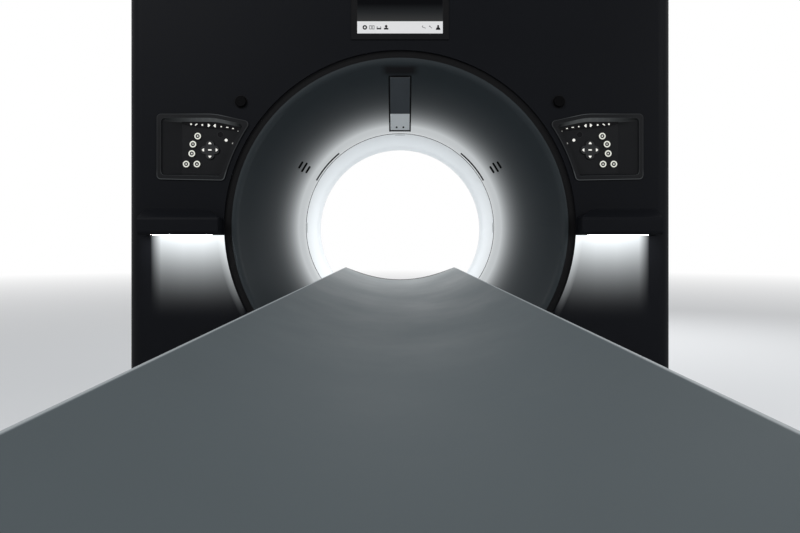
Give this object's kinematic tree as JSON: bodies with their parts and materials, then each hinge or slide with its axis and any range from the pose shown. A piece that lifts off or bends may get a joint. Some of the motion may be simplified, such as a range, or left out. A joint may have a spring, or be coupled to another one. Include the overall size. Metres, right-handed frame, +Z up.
{
  "type": "ct scanner",
  "caption": "Ring-shaped body scanner with a bell-mouthed bore, key panels, lit ledges and a lifting table whose dished cradle slides into the bore.",
  "frame": {"origin": "on the floor, straight under the middle of the bore, at the centre of the gantry's floor anchors", "axes": "+Y along the bore axis from the table into the gantry, +X to the right as seen from the table, +Z up"},
  "size_m": [2.12, 3.425, 2.06],
  "materials": {
    "cover_shell": "satin, dark graphite",
    "flare_shell": "satin, slate grey",
    "black_trim": "matt, black",
    "tunnel_white": "satin, white",
    "black_glass": "polished, black",
    "key_caps": "satin, with lit rings",
    "stop_caps": "satin, near black",
    "lamp_light": "lit white diffuser",
    "frame_steel": "powder coated, grey",
    "bare_steel": "ground",
    "cast_aluminium": "cast and turned",
    "unit_paint": "painted, light grey",
    "copper_parts": "bare copper alloy",
    "brush_holder": "moulded",
    "table_shell": "satin, grey",
    "cradle_skin": "satin, light grey",
    "rubber_black": "moulded, ribbed"
  },
  "bodies": {
    "gantry": {"base_frame": "frame_steel", "levelling_feet": "bare_steel", "stator_frame": "frame_steel", "main_bearing": "bare_steel", "drive_motor_coils": "copper_parts", "brush_block": "brush_holder", "power_unit": "frame_steel", "front_cover": "cover_shell", "rear_cover": "cover_shell", "left_side_cover": "cover_shell", "right_side_cover": "cover_shell", "top_cover": "cover_shell", "front_bore_flare": "flare_shell", "rear_bore_flare": "flare_shell", "front_trim_band": "black_trim", "bore_liner": "tunnel_white", "laser_windows": "black_glass", "display_housing": "black_trim", "display_screen": "black_glass", "camera_module": "flare_shell", "left_control_panel": "black_glass", "right_control_panel": "black_glass", "left_ledge": "cover_shell", "right_ledge": "cover_shell", "ledge_lamps": "lamp_light", "table_base": "frame_steel", "floor_link": "frame_steel", "lower_shroud": "table_shell", "outer_lift_columns": "cast_aluminium"},
    "rotor": {"rotor_drum": "cast_aluminium", "slip_ring": "copper_parts", "xray_tube": "unit_paint", "collimator": "unit_paint", "detector_array": "unit_paint", "hv_generator": "unit_paint", "heat_exchanger": "cast_aluminium"},
    "middle_stage": {"middle_shroud": "table_shell", "middle_lift_columns": "cast_aluminium"},
    "table_top": {"upper_shroud": "table_shell", "inner_lift_columns": "cast_aluminium", "table_support": "table_shell"},
    "cradle": {"cradle": "cradle_skin"},
    "front_roller": {"front_cradle_roller": "bare_steel"},
    "rear_roller": {"rear_cradle_roller": "bare_steel"},
    "release_handle": {"cradle_release_handle": "rubber_black"},
    "foot_pedal": {"foot_pedal": "rubber_black"},
    "left_key_1": {"left_key_1": "key_caps"},
    "left_key_2": {"left_key_2": "key_caps"},
    "left_key_3": {"left_key_3": "key_caps"},
    "left_key_4": {"left_key_4": "key_caps"},
    "left_key_5": {"left_key_5": "key_caps"},
    "right_key_1": {"right_key_1": "key_caps"},
    "right_key_2": {"right_key_2": "key_caps"},
    "right_key_3": {"right_key_3": "key_caps"},
    "right_key_4": {"right_key_4": "key_caps"},
    "right_key_5": {"right_key_5": "key_caps"},
    "left_jog_pad": {"left_jog_pad": "key_caps"},
    "right_jog_pad": {"right_jog_pad": "key_caps"},
    "left_stop_button": {"left_stop_button": "stop_caps"},
    "right_stop_button": {"right_stop_button": "stop_caps"}
  },
  "joints": [
    {"name": "rotor_spin", "type": "hinge", "parent": "gantry", "child": "rotor", "pos_m": [0, 0, 1.07], "axis": [0, 1, 0], "continuous": true},
    {"name": "table_lift", "type": "slide", "parent": "gantry", "child": "table_top", "axis": [0, 0, 1], "range_m": [-0.43, 0.06]},
    {"name": "middle_stage_lift", "type": "slide", "parent": "gantry", "child": "middle_stage", "axis": [0, 0, 1], "range_m": [-0.215, 0.03]},
    {"name": "cradle_slide", "type": "slide", "parent": "table_top", "child": "cradle", "axis": [0, 1, 0], "range_m": [0, 1.7]},
    {"name": "front_roller_spin", "type": "hinge", "parent": "table_top", "child": "front_roller", "pos_m": [0, -0.64, 0.8196], "axis": [1, 0, 0], "continuous": true},
    {"name": "rear_roller_spin", "type": "hinge", "parent": "table_top", "child": "rear_roller", "pos_m": [0, -1.5, 0.8196], "axis": [1, 0, 0], "continuous": true},
    {"name": "release_handle_pull", "type": "hinge", "parent": "cradle", "child": "release_handle", "pos_m": [0, -2.916, 0.882], "axis": [1, 0, 0], "range_deg": [-30, 0], "stiffness_Nm_per_rad": 1.5},
    {"name": "foot_pedal_press", "type": "hinge", "parent": "gantry", "child": "foot_pedal", "pos_m": [0, -2.262, 0.062], "axis": [1, 0, 0], "range_deg": [0, 12], "stiffness_Nm_per_rad": 40, "springref_deg": -5.73},
    {"name": "left_key_1_press", "type": "slide", "parent": "gantry", "child": "left_key_1", "axis": [0, 1, 0], "range_m": [0, 0.002], "stiffness_N_per_m": 600},
    {"name": "left_key_2_press", "type": "slide", "parent": "gantry", "child": "left_key_2", "axis": [0, 1, 0], "range_m": [0, 0.002], "stiffness_N_per_m": 600},
    {"name": "left_key_3_press", "type": "slide", "parent": "gantry", "child": "left_key_3", "axis": [0, 1, 0], "range_m": [0, 0.002], "stiffness_N_per_m": 600},
    {"name": "left_key_4_press", "type": "slide", "parent": "gantry", "child": "left_key_4", "axis": [0, 1, 0], "range_m": [0, 0.002], "stiffness_N_per_m": 600},
    {"name": "left_key_5_press", "type": "slide", "parent": "gantry", "child": "left_key_5", "axis": [0, 1, 0], "range_m": [0, 0.002], "stiffness_N_per_m": 600},
    {"name": "right_key_1_press", "type": "slide", "parent": "gantry", "child": "right_key_1", "axis": [0, 1, 0], "range_m": [0, 0.002], "stiffness_N_per_m": 600},
    {"name": "right_key_2_press", "type": "slide", "parent": "gantry", "child": "right_key_2", "axis": [0, 1, 0], "range_m": [0, 0.002], "stiffness_N_per_m": 600},
    {"name": "right_key_3_press", "type": "slide", "parent": "gantry", "child": "right_key_3", "axis": [0, 1, 0], "range_m": [0, 0.002], "stiffness_N_per_m": 600},
    {"name": "right_key_4_press", "type": "slide", "parent": "gantry", "child": "right_key_4", "axis": [0, 1, 0], "range_m": [0, 0.002], "stiffness_N_per_m": 600},
    {"name": "right_key_5_press", "type": "slide", "parent": "gantry", "child": "right_key_5", "axis": [0, 1, 0], "range_m": [0, 0.002], "stiffness_N_per_m": 600},
    {"name": "left_jog_pad_press", "type": "slide", "parent": "gantry", "child": "left_jog_pad", "axis": [0, 1, 0], "range_m": [0, 0.002], "stiffness_N_per_m": 900},
    {"name": "right_jog_pad_press", "type": "slide", "parent": "gantry", "child": "right_jog_pad", "axis": [0, 1, 0], "range_m": [0, 0.002], "stiffness_N_per_m": 900},
    {"name": "left_stop_button_press", "type": "slide", "parent": "gantry", "child": "left_stop_button", "axis": [0, 1, 0], "range_m": [0, 0.006], "stiffness_N_per_m": 1500},
    {"name": "right_stop_button_press", "type": "slide", "parent": "gantry", "child": "right_stop_button", "axis": [0, 1, 0], "range_m": [0, 0.006], "stiffness_N_per_m": 1500}
  ],
  "couplings": [
    {"joint": "middle_stage_lift", "follows": "table_lift", "ratio": 0.5},
    {"joint": "front_roller_spin", "follows": "cradle_slide", "rad_per_m": -55.556},
    {"joint": "rear_roller_spin", "follows": "cradle_slide", "rad_per_m": -55.556}
  ]
}
